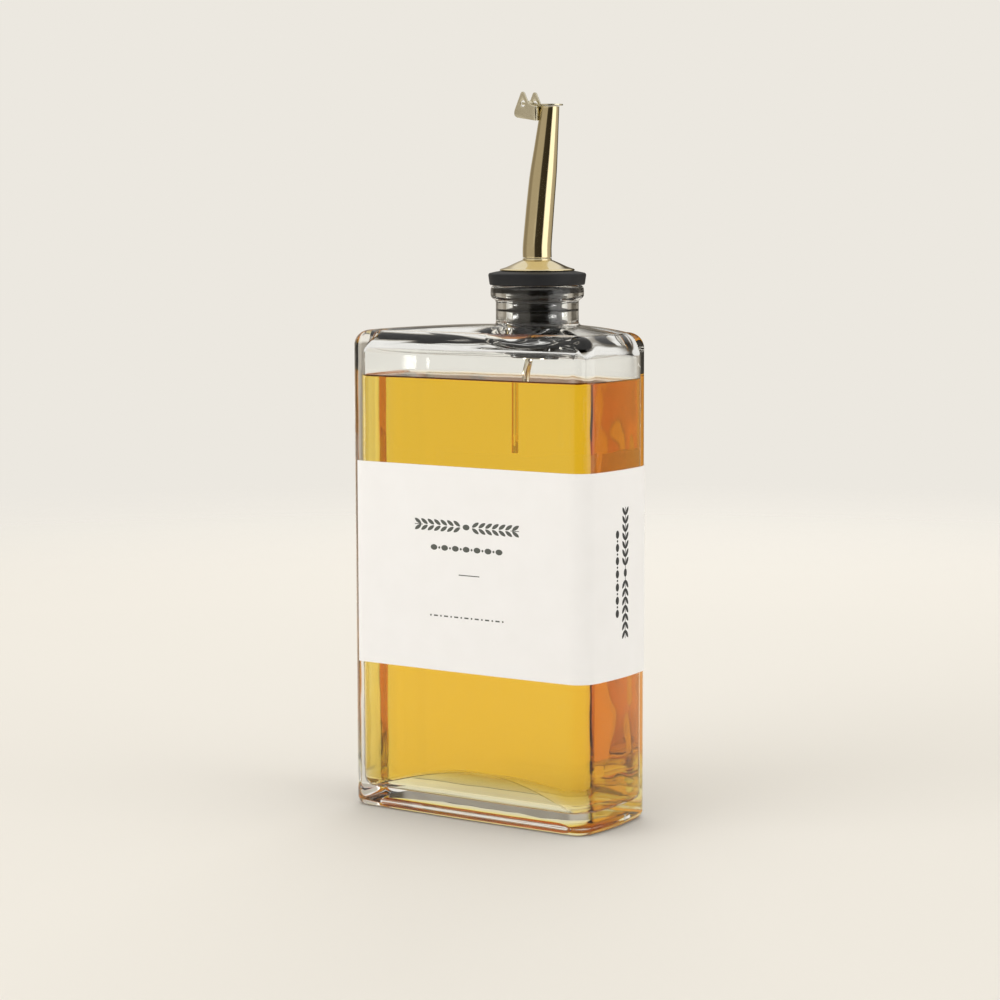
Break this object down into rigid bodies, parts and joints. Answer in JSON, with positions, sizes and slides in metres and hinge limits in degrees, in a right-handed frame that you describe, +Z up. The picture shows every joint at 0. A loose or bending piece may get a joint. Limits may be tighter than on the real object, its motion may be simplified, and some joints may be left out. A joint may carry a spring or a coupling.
{
  "type": "glass oil bottle",
  "caption": "Flat rounded-rectangle glass oil bottle with a paper label on front and side, a finned rubber stopper, and a leaning metal pouring spout with a hinged flap lid.",
  "frame": {"origin": "middle of the base, at the surface that the bottle stands on", "axes": "+Z up, X across the wide face with the neck and the spout's lean towards +X, Y from the front face to the back"},
  "size_m": [0.0904, 0.0389, 0.2225],
  "materials": {
    "clear_glass": "polished moulded flint glass",
    "olive_oil": "clear golden liquid",
    "label_paper": "matt uncoated paper with dark grey print",
    "black_rubber": "satin moulded rubber",
    "pale_gold_metal": "polished pale gold plating",
    "bracket_metal": "satin pale gold sheet metal"
  },
  "bodies": {
    "bottle": {"glass_bottle": "clear_glass", "olive_oil": "olive_oil", "wrap_label": "label_paper"},
    "stopper": {"rubber_stopper": "black_rubber"},
    "pourer": {"inner_stem": "pale_gold_metal", "dome_flange": "pale_gold_metal", "spout_collar": "pale_gold_metal", "spout_tube": "pale_gold_metal", "hinge_bracket": "bracket_metal", "hinge_pin": "pale_gold_metal", "breather_tube": "pale_gold_metal"},
    "flap": {"flap_lid": "bracket_metal"}
  },
  "joints": [
    {"name": "stopper_pull", "type": "slide", "parent": "bottle", "child": "stopper", "axis": [0, 0, 1], "range_m": [0, 0.06]},
    {"name": "spout_turn", "type": "hinge", "parent": "stopper", "child": "pourer", "pos_m": [0.0147, 0, 0.1688], "axis": [0, 0, 1], "continuous": true},
    {"name": "flap_swing", "type": "hinge", "parent": "pourer", "child": "flap", "pos_m": [0.01185, 0, 0.21885], "axis": [0, -1, 0], "range_deg": [0, 110]}
  ]
}
